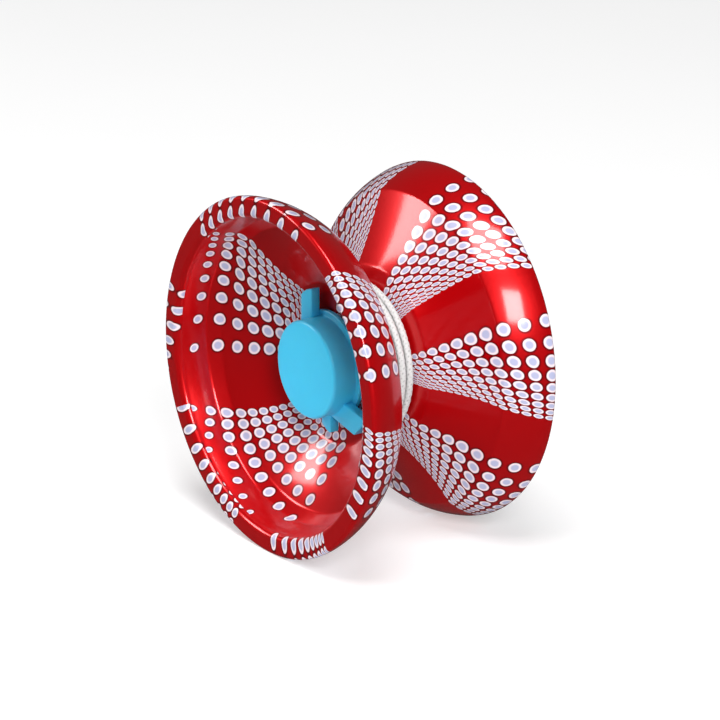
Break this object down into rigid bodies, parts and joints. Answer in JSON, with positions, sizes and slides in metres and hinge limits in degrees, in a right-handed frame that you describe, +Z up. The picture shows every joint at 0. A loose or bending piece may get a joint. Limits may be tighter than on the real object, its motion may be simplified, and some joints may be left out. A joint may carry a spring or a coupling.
{
  "type": "yo-yo",
  "caption": "Butterfly ball-bearing yo-yo: two flared open cups joined by an axle, hub caps with tabs, and string wound on the bearing.",
  "frame": {"origin": "centre of the ball bearing, midway between the two halves, on the spin axis", "axes": "+Y along the spin axis from the front half to the back half, +Z up as it stands on its two rims, +X to the right seen from the front"},
  "size_m": [0.0558, 0.034, 0.0558],
  "materials": {
    "shell_red": "glossy red lacquer with rings of pale dots in bands",
    "cap_blue": "satin sky blue moulded plastic",
    "bearing_steel": "polished bearing steel",
    "zinc": "zinc plated steel",
    "brass": "turned brass",
    "pad_silicone": "matt cast silicone",
    "string_white": "twisted white polyester string",
    "cage_nylon": "natural nylon"
  },
  "bodies": {
    "halves": {"front_shell": "shell_red", "back_shell": "shell_red", "front_hub_cap": "cap_blue", "back_hub_cap": "cap_blue", "front_axle_nut": "zinc", "back_axle_nut": "zinc", "front_bearing_seat": "brass", "back_bearing_seat": "brass", "front_response_pad": "pad_silicone", "back_response_pad": "pad_silicone", "axle_stud": "zinc", "bearing_inner_race": "bearing_steel"},
    "string_race": {"bearing_outer_race": "bearing_steel", "front_bearing_shield": "bearing_steel", "back_bearing_shield": "bearing_steel", "front_snap_ring": "bearing_steel", "back_snap_ring": "bearing_steel", "string_winding": "string_white"},
    "cage": {"bearing_cage": "cage_nylon", "bearing_ball_1": "bearing_steel", "bearing_ball_2": "bearing_steel", "bearing_ball_3": "bearing_steel", "bearing_ball_4": "bearing_steel", "bearing_ball_5": "bearing_steel", "bearing_ball_6": "bearing_steel", "bearing_ball_7": "bearing_steel", "bearing_ball_8": "bearing_steel"}
  },
  "joints": [
    {"name": "string_spin", "type": "hinge", "parent": "halves", "child": "string_race", "pos_m": [0, 0, 0], "axis": [0, 1, 0], "continuous": true},
    {"name": "cage_spin", "type": "hinge", "parent": "halves", "child": "cage", "pos_m": [0, 0, 0], "axis": [0, 1, 0], "continuous": true}
  ],
  "couplings": [
    {"joint": "cage_spin", "follows": "string_spin", "ratio": 0.5834}
  ]
}
